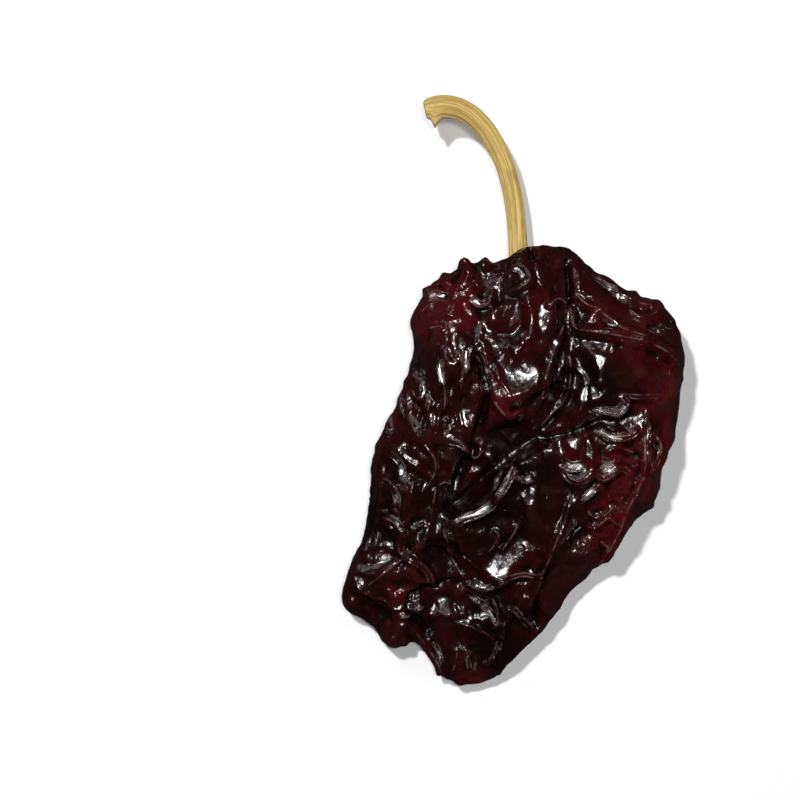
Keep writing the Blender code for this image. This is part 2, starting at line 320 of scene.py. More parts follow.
# Height and width in mm, and the courses of the lines that have them.
RIDGES = (
    *alike(2.25, 2.2,
        ((566, 300), (569, 322), (574, 331), (605, 336), (637, 342), (662, 353), (681, 371))),
    *alike(1.8, 1.4,
        ((642, 398), (641, 420), (640, 445), (640, 470), (632, 492), (623, 512), (617, 532), (607, 552),
         (600, 564))),
    *alike(1.8, 1.8, ((545, 313), (549, 304), (557, 301), (565, 307))),
    *alike(1.65, 1.2, ((570, 490), (565, 510), (555, 535), (547, 557), (540, 575), (537, 594))),
    *alike(1.65, 1.6, ((505, 269), (520, 270), (527, 280), (520, 289), (503, 296))),
    *alike(1.65, 1.7,
        ((533, 476), (521, 481), (511, 466), (504, 482), (492, 502), (479, 511), (458, 519), (447, 528),
         (452, 541))),
    *alike(1.5, 1.3,
        ((553, 550), (562, 535), (570, 521), (578, 517), (586, 525), (595, 525), (606, 517), (618, 527)),
        ((462, 584), (472, 584), (482, 592), (492, 598), (497, 612), (495, 632)),
        ((513, 602), (504, 622), (502, 642)), ((513, 604), (525, 618), (536, 634))),
    *alike(1.5, 1.4, ((414, 630), (429, 651), (439, 667), (442, 680))),
    *alike(1.35, 1.2, ((562, 322), (555, 340), (547, 360), (542, 380), (539, 395), (530, 412)),
        ((413, 478), (410, 495), (404, 511))),
    *alike(1.35, 1.3, ((445, 437), (459, 442), (466, 451), (474, 457), (484, 448)),
        ((380, 477), (392, 482), (397, 495), (394, 507), (401, 513)),
        ((400, 603), (410, 609), (422, 603)), ((398, 617), (412, 614), (425, 605))),
    *alike(1.35, 1.4, ((652, 433), (657, 447), (655, 462), (646, 476)),
        ((471, 298), (478, 307), (487, 304), (491, 291)), ((425, 291), (436, 292), (442, 299)),
        ((449, 298), (464, 295), (470, 287))),
    *alike(1.35, 1.6,
        ((378, 512), (395, 519), (402, 530), (401, 547), (408, 557), (422, 565), (430, 577),
         (429, 588)), flat=0.4),
    *alike(1.2, 1.1, ((471, 345), (466, 362), (464, 380))),
    *alike(1.2, 1.2, ((600, 453), (612, 447), (631, 452)),
        ((577, 500), (585, 495), (595, 484), (601, 492), (608, 501)),
        ((452, 620), (470, 625), (485, 632), (496, 641))),
    *alike(1.2, 1.3, ((566, 350), (567, 380), (562, 400), (550, 412), (535, 430)),
        ((366, 586), (385, 571), (403, 557))),
    *alike(1.2, 1.4, ((446, 546), (454, 562), (465, 578))),
    *alike(1.2, 1.5, ((490, 400), (498, 410), (505, 416), (518, 411))),
    *alike(1.2, 1.5, ((468, 576), (485, 586), (500, 580), (514, 574), (526, 573), (540, 577)), flat=0.3),
    *alike(1.2, 1.6, ((569, 292), (582, 305), (595, 312), (620, 330), (655, 341)),
        ((428, 330), (436, 328), (445, 330))),
    *alike(1.2, 1.8, ((587, 277), (605, 282), (620, 297), (640, 305), (657, 307))),
    *alike(1.05, 1, ((474, 350), (482, 360), (484, 372), (490, 382))),
    *alike(1.05, 1.2, ((441, 357), (440, 375), (444, 392), (443, 415)),
        ((457, 350), (461, 372), (459, 392)), ((490, 527), (497, 532), (494, 541), (486, 552)),
        ((409, 365), (418, 374), (424, 386), (423, 399), (415, 396), (411, 388)),
        ((598, 540), (606, 547), (603, 560), (594, 572)),
        ((584, 508), (592, 516), (604, 512), (612, 503))),
    *alike(1.05, 1.3, ((517, 520), (510, 535), (498, 552))),
    *alike(1.05, 1.5,
        ((585, 407), (602, 412), (615, 412), (622, 403), (618, 396), (635, 397), (664, 396)),
        ((557, 466), (567, 479), (578, 481), (590, 472), (600, 477), (617, 468), (629, 475)), flat=0.35),
    *alike(1.05, 1.6, ((590, 424), (602, 434), (614, 438), (628, 435), (638, 426)), flat=0.35),
    *alike(0.9, 1, ((436, 402), (438, 416), (436, 430))),
    *alike(0.9, 1.2, ((422, 443), (432, 454), (435, 466), (430, 480), (419, 494)),
        ((421, 313), (427, 307), (434, 304)), ((655, 500), (644, 515), (636, 530)),
        ((574, 596), (563, 610), (552, 624))),
    *alike(0.9, 1.4, ((625, 310), (636, 318), (647, 316), (656, 311))),
    *alike(0.9, 1.5, ((412, 370), (420, 385), (428, 398), (424, 412)), flat=0.3),
    *alike(0.75, 1, ((438, 484), (445, 481), (454, 485)), ((435, 486), (434, 495), (432, 504)),
        ((412, 530), (418, 525), (425, 522)), ((449, 400), (454, 414), (458, 428))),
    *alike(0.75, 1.1, ((458, 646), (456, 662), (452, 676)), ((470, 650), (476, 662), (474, 676))),
    *alike(0.75, 1.2, ((655, 323), (660, 327), (665, 330), (671, 328))),
)
CREASES = (
    *alike(-2.4, 1.7,
        ((470, 350), (478, 366), (482, 390), (480, 418), (474, 443), (461, 469), (447, 494))),
    *alike(-2.4, 1.8, ((430, 642), (421, 627), (412, 612), (404, 600))),
    *alike(-2.1, 1.2, ((567, 256), (566, 272), (567, 290), (567, 312))),
    *alike(-2.1, 1.6, ((404, 600), (420, 590), (440, 583), (465, 577))),
    *alike(-1.8, 1.4, ((422, 549), (440, 549), (455, 562), (466, 578))),
    *alike(-1.8, 1.5, ((558, 550), (549, 572), (541, 592), (536, 612), (534, 640)),
        ((377, 466), (374, 495), (368, 530), (364, 556))),
    *alike(-1.5, 1.7, ((527, 441), (545, 436), (565, 431), (581, 427), (597, 421), (611, 415))),
    *alike(-1.35, 0.9, ((528, 246), (528, 254), (530, 264))),
    *alike(-1.35, 2, ((560, 398), (545, 425), (515, 448), (488, 470), (462, 495), (440, 512))),
)

# Where the skin has more surplus than elsewhere or, below 0, less.
SLACK = (
    Patch(-0.85, (635, 385), 46), Patch(-0.5, (622, 315), 42), Patch(-0.8, (505, 556), 34),
    Patch(-0.6, (520, 645), 34), Patch(-0.5, (560, 460), 34), Patch(-0.5, (520, 325), 26),
    Patch(-0.5, (575, 590), 34), Patch(0.9, (437, 375), 62), Patch(1.2, (462, 290), 40),
    Patch(1.2, (395, 600), 46), Patch(1.2, (400, 495), 50), Patch(-0.3, (625, 480), 50),
    Patch(0.8, (460, 560), 40), Patch(-0.5, (503, 612), 38),
)

# Small knobs that stand out of the skin by so many mm, most of them on its outline.
KNOBS = (
    Patch(1.9, (465, 268), 9), Patch(1.8, (484, 268), 10), Patch(1.2, (446, 279), 9),
    Patch(1.0, (425, 291), 8), Patch(1.0, (632, 297), 10), Patch(0.9, (655, 307), 10),
    Patch(1.2, (352, 603), 12), Patch(1.2, (372, 622), 12), Patch(1.1, (392, 640), 10),
    Patch(0.9, (404, 642), 8), Patch(0.8, (652, 486), 9), Patch(0.7, (474, 690), 9),
)

# Where the whole side of the pod is pushed out by so many mm or, below 0, drawn in.
DENTS = (Patch(-1.8, (400, 352), 46), Patch(-3.4, (374, 400), 66), Patch(2.4, (394, 638), 28))

# Where the flesh is thin and glows red or, below 0, where the skin is all but black. The patch at the right
# rim is painted light on the side that faces away from the lamps, and the dark patch in the hollow at the end
# of the middle lobe is painted shade.
TONES = (
    Patch(0.9, (508, 405), 22), Patch(0.8, (395, 588), 26), Patch(0.7, (612, 515), 46),
    Patch(0.6, (622, 455), 34), Patch(0.9, (448, 300), 56), Patch(0.5, (590, 600), 40),
    Patch(0.9, (478, 682), 16), Patch(0.6, (412, 395), 30), Patch(0.9, (625, 325), 60),
    # the last patch on the next line is painted light on the right rim
    Patch(0.5, (600, 480), 60), Patch(0.4, (545, 350), 34), Patch(0.5, (664, 400), 50),
    Patch(0.6, (645, 470), 60), Patch(0.6, (600, 565), 60), Patch(0.4, (410, 330), 50),
    # the first patch on the next line is painted shade in the hollow at the end of the middle lobe
    Patch(-0.9, (505, 440), 30), Patch(-0.8, (450, 500), 36), Patch(-0.7, (368, 520), 40),
    Patch(-0.6, (430, 545), 44), Patch(-0.7, (425, 625), 26), Patch(-0.5, (600, 385), 46),
    Patch(-1.1, (500, 635), 66), Patch(-0.8, (500, 510), 56), Patch(-0.6, (535, 460), 34),
    Patch(-0.8, (500, 465), 60), Patch(-0.6, (515, 670), 40),
)


@dataclass(frozen=True)
class Facet:
    """A flat part of the skin: an ellipse given by its middle and radii in pixels."""

    middle: Pixel
    radii: tuple[float, float]
    turn: float  # degrees, from the picture's right towards its top
    slopes: tuple[float, float]  # rise per unit towards the right and towards the top
    lift: float = 0.0  # mm
    limit: float = 10.0  # most that it moves the skin, in mm

    @property
    def centre(self) -> np.ndarray:
        """X and Y of its middle, in metres."""
        return on_table((self.middle,))[0]

    def share_of(self, sheet: SkinSheet) -> np.ndarray:
        """How far each point of the sheet belongs to the facet, from 0 to 1."""
        x, y = sheet.offsets(self.centre)
        turn = math.radians(self.turn)
        along = (x * math.cos(turn) + y * math.sin(turn)) * PIXELS_PER_METRE / self.radii[0]
        across = (y * math.cos(turn) - x * math.sin(turn)) * PIXELS_PER_METRE / self.radii[1]
        return 0.85 * smooth((1.25 - np.hypot(along, across)) / 0.5) * sheet.upward()


GLINT = (0.13, -0.15)  # slopes at which the skin mirrors the lamp into the camera

FACETS = (
    Facet((512, 382), (32, 19), 25.0, (0.09, -0.15), 1.6),
    Facet((541, 321), (10, 16), -15.0, GLINT, 1.0),
    Facet((506, 556), (30, 17), 48.0, GLINT, 0.4),
    Facet((580, 545), (16, 15), 30.0, (0.16, -0.10), 0.6),
    Facet((626, 422), (14, 11), 0.0, GLINT, 0.0),
    Facet((574, 472), (12, 9), 0.0, GLINT, 0.4),
    Facet((392, 523), (12, 8), -20.0, GLINT, 0.4),
    Facet((505, 437), (24, 15), 20.0, (0.0, 0.10), -2.0),
    Facet((635, 380), (42, 26), -15.0, (-0.32, 0.08), 0.0),
    Facet((520, 640), (34, 26), 50.0, (-0.20, 0.20), 0.0),
    Facet((547, 500), (22, 34), -20.0, (-0.28, 0.10), 0.0),
    Facet((470, 480), (16, 36), -35.0, (0.25, 0.20), -1.0),
    Facet((430, 560), (26, 20), 30.0, (-0.15, 0.25), 0.0),
    Facet((504, 322), (20, 20), 0.0, (-0.12, 0.16), -0.4),
)


@dataclass(frozen=True)
class Ribbon:
    """A narrow flat strip along a fold, sloped to mirror the lamp, followed in the photograph's pixels."""

    width: float  # mm from its middle to its edge
    pixels: Pixels
    lift: float = 0.2  # mm
    slopes: tuple[float, float] = GLINT
    limit: float = 1.2  # most that it moves the skin, in mm

    @property
    def inset(self) -> float:
        """How far from its middle its sharp edge runs, in mm."""
        return self.width

    @property
    def centre(self) -> np.ndarray:
        """X and Y of its middle, in metres."""
        return on_table(self.pixels).mean(axis=0)

    def share_of(self, sheet: SkinSheet) -> np.ndarray:
        """How far each point of the sheet belongs to the ribbon, from 0 to 1."""
        share = np.zeros(sheet.points.shape[1], np.float32)
        chosen, away, along = sheet.trace(self, 1.5 * self.width * MM)
        across = smooth((1.5 - np.abs(away) / (self.width * MM)) / 0.7)
        share[chosen] = 0.9 * between_ends(along, 0.15) * across
        return share * sheet.upward()


RIBBONS = (
    Ribbon(1.0, ((513, 468), (505, 481), (493, 500))),
    Ribbon(1.1, ((496, 498), (480, 510), (462, 517), (450, 526))),
    Ribbon(0.8, ((452, 522), (446, 530), (451, 541))),
    Ribbon(0.9, ((514, 472), (522, 479), (532, 475))),
    Ribbon(1.2, ((583, 406), (600, 412), (614, 412), (621, 402))),
    Ribbon(1.1, ((593, 427), (605, 436), (622, 436))),
    Ribbon(1.2, ((558, 460), (568, 466), (580, 464))),
    Ribbon(1.1, ((594, 462), (604, 468), (614, 462))),
    Ribbon(0.8, ((576, 500), (585, 494), (594, 485))),
    Ribbon(0.9, ((556, 352), (557, 366), (554, 384))),
    Ribbon(0.7, ((465, 348), (464, 360), (466, 374))),
    Ribbon(0.7, ((474, 352), (481, 362), (484, 374))),
    Ribbon(0.7, ((440, 356), (439, 372), (442, 388))),
    Ribbon(0.8, ((388, 453), (396, 458), (402, 468), (398, 478))),
    Ribbon(0.8, ((392, 486), (397, 496), (396, 508))),
    Ribbon(0.6, ((464, 590), (477, 599), (489, 604))),
    Ribbon(0.7, ((480, 602), (491, 613), (500, 629))),
    Ribbon(0.5, ((430, 638), (438, 650), (444, 668))),
    Ribbon(0.5, ((460, 640), (467, 654), (470, 672))),
    Ribbon(0.5, ((500, 640), (495, 655), (484, 668))),
    Ribbon(0.6, ((510, 603), (519, 614), (530, 628))),
    Ribbon(0.6, ((404, 388), (402, 404), (407, 418))),
    Ribbon(0.6, ((421, 376), (424, 390), (418, 402))),
    Ribbon(0.6, ((640, 326), (652, 332), (664, 336))),
    Ribbon(0.7, ((592, 276), (604, 286), (616, 290))),
    Ribbon(0.8, ((470, 582), (484, 587), (500, 581))),
    Ribbon(0.8, ((446, 440), (460, 444), (468, 453))),
    Ribbon(0.8, ((424, 300), (436, 296), (448, 300))),
    Ribbon(0.8, ((470, 298), (478, 306), (487, 302))),
    Ribbon(0.8, ((507, 270), (519, 273), (522, 283))),
    Ribbon(0.8, ((643, 420), (643, 440), (642, 462))),
    Ribbon(0.8, ((652, 440), (655, 452), (650, 468))),
    Ribbon(0.8, ((563, 545), (570, 530), (580, 522))),
    Ribbon(0.8, ((404, 602), (412, 607), (420, 602))),
)


def smooth(t: np.ndarray | float) -> np.ndarray | float:
    """A smooth step from 0 to 1."""
    t = np.clip(t, 0.0, 1.0)
    return t * t * (3.0 - 2.0 * t)


def between_ends(along: np.ndarray, fade: float) -> np.ndarray:
    """1 along a line, falling smoothly to 0 over this share of it at either end."""
    return smooth(along / fade) * smooth((1 - along) / fade)


def field_of(points: np.ndarray, size: float, octaves: int, offset: float) -> np.ndarray:
    """Smooth noise of about -1 to 1 at each column of points, with features of this size in metres."""
    shift = Vector((offset, 2 * offset, 3 * offset))
    places = (points.T / size).tolist()
    return np.array([noise.fractal(Vector(p) + shift, 1.0, 2.0, octaves) for p in places], np.float32)


def net_of(points: np.ndarray, size: float, offset: float) -> np.ndarray:
    """1 on a net of sharp lines, falling evenly to 0 in its meshes, which are about this size in metres."""
    warp = np.stack([field_of(points, 1.2 * size, 2, offset + k) for k in (1.3, 2.6, 3.9)])
    places = ((points / size + 0.3 * warp).T + offset).tolist()
    nearest = np.array([noise.voronoi(Vector(p))[0][:2] for p in places], np.float32)
    return 1 - np.clip((nearest[:, 1] - nearest[:, 0]) / 0.8, 0, 1)


def on_table(pixels: Pixels | np.ndarray) -> np.ndarray:
    """Rows of X and Y in metres under pixels of the photograph."""
    return (np.array(pixels, float) - BOX_MIDDLE) * (1 / PIXELS_PER_METRE, -1 / PIXELS_PER_METRE)


def through(corners: np.ndarray, steps: int) -> np.ndarray:
    """Points of a smooth curve through the corners, this many to each span."""
    padded = np.vstack((2 * corners[0] - corners[1], corners, 2 * corners[-1] - corners[-2]))
    before, start, end, after = padded[:-3, None], padded[1:-2, None], padded[2:-1, None], padded[3:, None]
    t = (np.arange(steps) / steps)[None, :, None]
    curve = 0.5 * (2 * start + (end - before) * t + (2 * before - 5 * start + 4 * end - after) * t**2
                   + (3 * start - before - 3 * end + after) * t**3)
    return np.vstack((curve.reshape(-1, corners.shape[1]), corners[-1]))


class Neighbours:
    """Which points of a mesh are tied to which, as arrays for sums over each point's ties."""

    def __init__(self, pairs: np.ndarray, count: int) -> None:
        """Sorts the pairs by point."""
        source = np.concatenate((pairs[:, 0], pairs[:, 1]))
        order = np.argsort(source, kind="stable")
        self.target = np.concatenate((pairs[:, 1], pairs[:, 0]))[order]
        self.starts = np.searchsorted(source[order], np.arange(count))
        self.degree = np.diff(np.append(self.starts, len(source)))
        self.count = self.degree.astype(np.float32)

    def here(self, values: np.ndarray) -> np.ndarray:
        """The values at each tie's own point."""
        return np.repeat(values, self.degree, axis=-1)

    def there(self, values: np.ndarray) -> np.ndarray:
        """The values at each tie's other point."""
        return np.take(values, self.target, axis=-1)

    def total(self, ties: np.ndarray) -> np.ndarray:
        """The sum over each point's ties."""
        return np.add.reduceat(ties, self.starts, axis=-1)

    def bend(self, values: np.ndarray) -> np.ndarray:
        """How far the neighbours' values lie from each point's own, in all."""
        return self.total(self.there(values)) - self.count * values


class SkinSheet:
    """A closed mesh of quads as arrays, and the sum that lets its surplus skin buckle into wrinkles."""

    def __init__(self, mesh: bpy.types.Mesh) -> None:
        """Reads the points, normals and ties of a mesh."""
        self.mesh = mesh
        count = len(mesh.vertices)
        self.points = self._read(mesh.vertices, "co", np.float32, 3)
        self.normals = self._read(mesh.vertices, "normal", np.float32, 3)
        edges = self._read(mesh.edges, "vertices", np.int32, 2).T
        corners = self._read(mesh.loops, "vertex_index", np.int32, 1)[0]
        sides = self._read(mesh.polygons, "loop_total", np.int32, 1)[0]
        starts = self._read(mesh.polygons, "loop_start", np.int32, 1)[0]
        quads = corners[starts[sides == 4][:, None] + np.arange(4)]
        self.near = Neighbours(edges, count)
        self.wide = Neighbours(np.vstack((edges, quads[:, [0, 2]], quads[:, [1, 3]])), count)
        spans = self.points[:, edges[:, 1]] - self.points[:, edges[:, 0]]
        self.spacing = float(np.linalg.norm(spans, axis=0).mean())

    @staticmethod
    def _read(items: bpy.types.bpy_prop_collection, name: str, kind: type, width: int) -> np.ndarray:
        """One property of every item, as rows of the array."""
        values = np.empty(len(items) * width, kind)
        items.foreach_get(name, values)
        return np.ascontiguousarray(values.reshape(-1, width).T)

    def soften(self, values: np.ndarray, rounds: int) -> np.ndarray:
        """Values averaged with their neighbours' this many times."""
        for _ in range(rounds):
            values = values + 0.6 * self.near.bend(values) / self.near.count
        return values

    def offsets(self, centre: np.ndarray) -> tuple[np.ndarray, np.ndarray]:
        """How far each point lies to the right of a place and, seen from above, over it, in metres."""
        return self.points[0] - centre[0], self.points[1] - centre[1]

    def upward(self) -> np.ndarray:
        """1 where the skin faces up, falling to 0 where it turns over its side."""
        return smooth((self.normals[2] - 0.1) / 0.3)

    def trace(self, line: Line | Ribbon, reach: float) -> tuple[np.ndarray, np.ndarray, np.ndarray]:
        """Follows one line over the top of the skin.

        Args:
            line: the line.
            reach: how far from it points still count, in metres.

        Returns:
            The numbers of the points in reach, how far each lies to the line's left, and its place along it
            from 0 to 1.
        """
        path = through(on_table(line.pixels), 4).astype(np.float32)
        x, y = self.points[0], self.points[1]
        low, high = path.min(axis=0) - reach, path.max(axis=0) + reach
        near = (x > low[0]) & (x < high[0]) & (y > low[1]) & (y < high[1]) & (self.normals[2] > -0.2)
        chosen = np.nonzero(near)[0]
        at = self.points[:2, chosen].T
        best = np.full(len(chosen), np.inf, np.float32)
        along = np.zeros(len(chosen), np.float32)
        for index, (start, end) in enumerate(zip(path[:-1], path[1:])):
            step = end - start
            t = np.clip(((at - start) @ step) / (step @ step), 0, 1)
            off = at - start - t[:, None] * step
            away = np.linalg.norm(off, axis=1)
            closer = away < np.abs(best)
            left = np.where(step[0] * off[:, 1] > step[1] * off[:, 0], 1, -1)
            best[closer] = (left * away)[closer]
            along[closer] = (index + t[closer]) / (len(path) - 1)
        return chosen, best, along

    def press(self, lines: tuple[Line, ...]) -> None:
        """Raises or sinks the skin along lines."""
        rise = np.zeros(self.points.shape[1], np.float32)
        for line in lines:
            width = line.width * MM
            chosen, away, along = self.trace(line, width)
            shape = np.clip((1 - np.abs(away) / width) / (1 - line.flat), 0, 1) ** 1.25
            rise[chosen] += line.height * MM * shape * between_ends(along, 0.18)
        out = self.soften(self.normals, 8)
        out /= np.linalg.norm(out, axis=0)
        self.points += out * (rise * smooth((out[2] + 0.2) / 0.4))

    def calm(self, lines: tuple[Line, ...], reach: float) -> np.ndarray:
        """0 on the lines and 1 further than reach from them, at each point."""
        still = np.ones(self.points.shape[1], np.float32)
        for line in lines:
            chosen, away, _ = self.trace(line, reach)
            still[chosen] = np.minimum(still[chosen], smooth(np.abs(away) / reach))
        return still

    def keep_seams(self, lines: tuple[Line | Ribbon, ...], reach: float) -> None:
        """Keeps how far each point lies from the nearest sharp edge, in mm, and the edge's share in it."""
        seam = np.full(self.points.shape[1], reach, np.float32)
        share = np.zeros_like(seam)
        for line in lines:
            inset = line.inset * MM
            chosen, away, along = self.trace(line, reach + inset)
            away = np.abs(away) - inset if inset else away
            closer = np.abs(away) < np.abs(seam[chosen])
            chosen, away, along = chosen[closer], away[closer], along[closer]
            seam[chosen] = away
            share[chosen] = between_ends(along, 0.1) * smooth(2.2 - 2.2 * np.abs(away) / reach)
        self.keep("seam", seam / MM)
        self.keep("seam_share", share)

    def swell(self, knob: Patch, above: float) -> None:
        """Pushes one knob out of the skin above this height or, where its amount is below 0, in."""
        self.points += self.normals * (knob.amount * MM * knob.share(self.points, above)).astype(np.float32)

    def sharpen(self, rounds: int, gain: float) -> None:
        """Draws out what stands proud of the smoothed skin, so that crests turn crisp."""
        proud = ((self.points - self.soften(self.points, rounds)) * self.normals).sum(axis=0)
        self.points += self.normals * (gain * np.clip(proud, 0, None) ** 2 / (0.4 * MM)).astype(np.float32)

    def flatten(self, facet: Facet | Ribbon) -> None:
        """Draws the top of the skin towards one facet's plane."""
        share = facet.share_of(self)
        inside = share > 0.01
        height = np.average(self.points[2, inside], weights=share[inside]) + facet.lift * MM
        x, y = self.offsets(facet.centre)
        plane = height + facet.slopes[0] * x + facet.slopes[1] * y
        limit = facet.limit * MM
        self.points[2] += (share * np.clip(plane - self.points[2], -limit, limit)).astype(np.float32)

    def buckle(
        self, growth: np.ndarray, seed: np.ndarray, wave: float, hold: float, outward: float, steps: int
    ) -> None:
        """Grows the skin by a share of its length while the flesh holds it, so that it wrinkles.

        Args:
            growth: surplus length at each point, as a share.
            seed: first displacement of each point along its normal, in metres.
            wave: distance in metres from one wrinkle to the next.
            hold: how firmly the flesh resists a push inwards.
            outward: the same for a pull outwards, as a share of hold.
            steps: number of steps.
        """
        base = self.points / np.float32(self.spacing)
        normals, wide = self.normals, self.wide
        edge = wide.there(base) - wide.here(base)
        unit = np.sqrt((edge * edge).sum(axis=0))
        across = 0.7 + 0.6 * (edge[0] / unit) ** 2  # more surplus round the pod than along it
        surplus = (wide.there(growth) + wide.here(growth)) * across * np.float32(0.5)
        bend = np.float32(hold * outward**0.5 * (wave / self.spacing / (2 * math.pi)) ** 4)
        moved = normals * (seed / np.float32(self.spacing))
        speed = np.zeros_like(moved)
        tick, drag = np.float32(0.42), np.float32(0.93)
        firm, loose = np.float32(hold), np.float32(hold * outward)
        slide = np.float32(0.2) * firm  # the same for a slide along the surface
        for step in range(steps):
            rest = unit * (1 + surplus * np.float32(min(1.0, 1.6 * (step + 1) / steps)))
            at = base + moved
            span = wide.there(at) - wide.here(at)
            span *= 1 - rest / np.sqrt((span * span).sum(axis=0))
            push = wide.total(span) - bend * self.near.bend(self.near.bend(moved))
            out = (moved * normals).sum(axis=0)
            push -= normals * (out * np.where(out > 0, loose, firm))
            push -= slide * (moved - normals * out)
            speed = (speed + tick * push) * drag
            moved += tick * speed
            moved[2] = np.maximum(moved[2], -base[2])
        moved -= self.soften(moved, round(2 * (wave / self.spacing) ** 2))
        moved[2] = np.maximum(moved[2], -base[2])
        self.points = (base + moved) * np.float32(self.spacing)

    def write(self) -> None:
        """Puts the points back into the mesh and reads its new normals."""
        self.mesh.vertices.foreach_set("co", np.ascontiguousarray(self.points.T).ravel())
        self.mesh.update()
        self.normals = self._read(self.mesh.vertices, "normal", np.float32, 3)

    def keep(self, name: str, values: np.ndarray) -> None:
        """Keeps one number on each point, for the material."""
        layer = self.mesh.attributes.new(name, "FLOAT", "POINT")
        layer.data.foreach_set("value", values.astype(np.float32))


def with_modifier(obj: bpy.types.Object, kind: str, **settings: float | str | bool) -> None:
    """Adds one modifier to an object and applies it."""
    modifier = obj.modifiers.new(kind.lower(), kind)
    for name, value in settings.items():
        setattr(modifier, name, value)
    graph = bpy.context.evaluated_depsgraph_get()
    old = obj.data
    obj.data = bpy.data.meshes.new_from_object(
        obj.evaluated_get(graph), preserve_all_data_layers=True, depsgraph=graph
    )
    obj.modifiers.clear()
    bpy.data.meshes.remove(old)


@dataclass(frozen=True)
class Buckle:
    """One round of wrinkling: the surplus skin, the wrinkles' spacing and how firmly the flesh holds them."""

    growth: float
    wave: float
    hold: float
    steps: int
    offset: float


@dataclass(frozen=True)
class Fold:
    """A net of sharp folds: the size of its meshes and the height of its edges."""

    size: float
    height: float
    offset: float


@dataclass
class Pod:
    """The pepper's pod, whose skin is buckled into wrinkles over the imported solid."""

    node: str = "pod"
    voxel: float = 1.5 * MM
    triangles: int = 196000
    seam_reach: float = 1.2 * MM
    underside: float = -0.3  # skin that faces further down than this may be joined into larger faces
    buckles: tuple[Buckle, ...] = (
        Buckle(growth=0.035, wave=10.0 * MM, hold=0.04, steps=240, offset=7.0),
        Buckle(growth=0.035, wave=5.0 * MM, hold=0.04, steps=200, offset=3.0),
        Buckle(growth=0.040, wave=2.5 * MM, hold=0.05, steps=110, offset=5.0),
    )
    folds: tuple[Fold, ...] = (
        Fold(size=17.0 * MM, height=1.9 * MM, offset=3.7), Fold(size=9.0 * MM, height=0.7 * MM, offset=6.1),
    )
    skin: PepperSkin = field(default_factory=PepperSkin)

    def build(self, frame: dict) -> bpy.types.Object:
        """Builds the pod over its CAD node.


        Returns:
            The pod, riding on its body.
        """
        obj = self._smooth_copy(frame["nodes"][self.node])
        sheet = SkinSheet(obj.data)
        sheet.points = sheet.soften(sheet.points, 4)
        sheet.write()
        for dent in DENTS:
            sheet.swell(dent, EVERYWHERE)
        for facet in FACETS:
            sheet.flatten(facet)
        sheet.write()
        self._wrinkle(sheet, self.buckles[0])
        for buckle in self.buckles[1:]:
            sheet.write()
            with_modifier(obj, "SUBSURF", levels=1, render_levels=1)
            sheet = SkinSheet(obj.data)
            if buckle is self.buckles[-1]:
                self._crumple(sheet)
                for knob in KNOBS:
                    sheet.swell(knob, TOP_SIDE)
                sheet.write()
            self._wrinkle(sheet, buckle)
        sheet.write()
        sheet.sharpen(12, 0.4)
        sheet.press(RIDGES + CREASES)
        sheet.write()
        for ribbon in RIBBONS:
            sheet.flatten(ribbon)
        sheet.write()
        self._describe(sheet)
        sheet.keep_seams(RIDGES + RIBBONS, self.seam_reach)
        self._thin_out(obj, sheet)
        obj.data.shade_smooth()
        obj.data.materials.clear()
        obj.data.materials.append(self.skin.material())
        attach(obj, BODY)
        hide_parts(self.node)
        return obj

    def _smooth_copy(self, node: bpy.types.Object) -> bpy.types.Object:
        """A copy of the CAD node in even quads."""
        mesh = node.data.copy()
        work = bmesh.new()
        work.from_mesh(mesh)
        bmesh.ops.remove_doubles(work, verts=work.verts, dist=1e-6)
        work.to_mesh(mesh)
        work.free()
        obj = bpy.data.objects.new("pod_skin", mesh)
        bpy.context.scene.collection.objects.link(obj)
        with_modifier(obj, "REMESH", mode="VOXEL", voxel_size=self.voxel)
        return obj

    def _slack(self, sheet: SkinSheet, offset: float) -> np.ndarray:
        """How loose the skin is at each point, about 1 on average."""
        slack = 1 + 0.35 * field_of(sheet.points, 14 * MM, 2, offset)
        for patch in SLACK:
            slack *= 1 + patch.amount * patch.share(sheet.points, TOP_SIDE)
        for facet in FACETS:
            slack *= 1 - 0.4 * facet.share_of(sheet)
        slack *= 0.5 + 0.5 * sheet.calm(RIDGES + CREASES, 2.0 * MM)
        slack *= 0.5 + 0.5 * smooth(np.abs(sheet.normals[2]) / 0.5)
        return np.clip(slack, 0, None).astype(np.float32)

    def _crumple(self, sheet: SkinSheet) -> None:
        """Folds the skin into small flat faces with sharp edges between them."""
        loose = np.clip(self._slack(sheet, 9.0), 0.2, 1.5)
        for fold in self.folds:
            edges = net_of(sheet.points, fold.size, fold.offset)
            rise = (edges - edges.mean()) * loose * fold.height
            sheet.points += sheet.normals * rise.astype(np.float32)

    def _wrinkle(self, sheet: SkinSheet, buckle: Buckle) -> None:
        """Buckles the sheet where it is slack."""
        uneven = field_of(sheet.points, buckle.wave * 0.8, 2, buckle.offset + 1.7)
        seed = uneven * np.float32(sheet.spacing * 0.3)
        slack = buckle.growth * self._slack(sheet, buckle.offset)
        sheet.buckle(slack, seed, buckle.wave, buckle.hold, 0.25, buckle.steps)

    def _thin_out(self, obj: bpy.types.Object, sheet: SkinSheet) -> None:
        """Joins small faces, most of them on the underside, until few enough triangles are left."""
        below = obj.vertex_groups.new(name="underside")
        below.add(np.nonzero(sheet.normals[2] < self.underside)[0].tolist(), 1.0, "REPLACE")
        ratio = min(1.0, self.triangles / (2 * len(obj.data.polygons)))
        with_modifier(obj, "DECIMATE", ratio=ratio, vertex_group=below.name, vertex_group_factor=3.0)
        obj.vertex_groups.clear()
        for point in obj.data.vertices:
            point.co.z = max(point.co.z, 0.0)

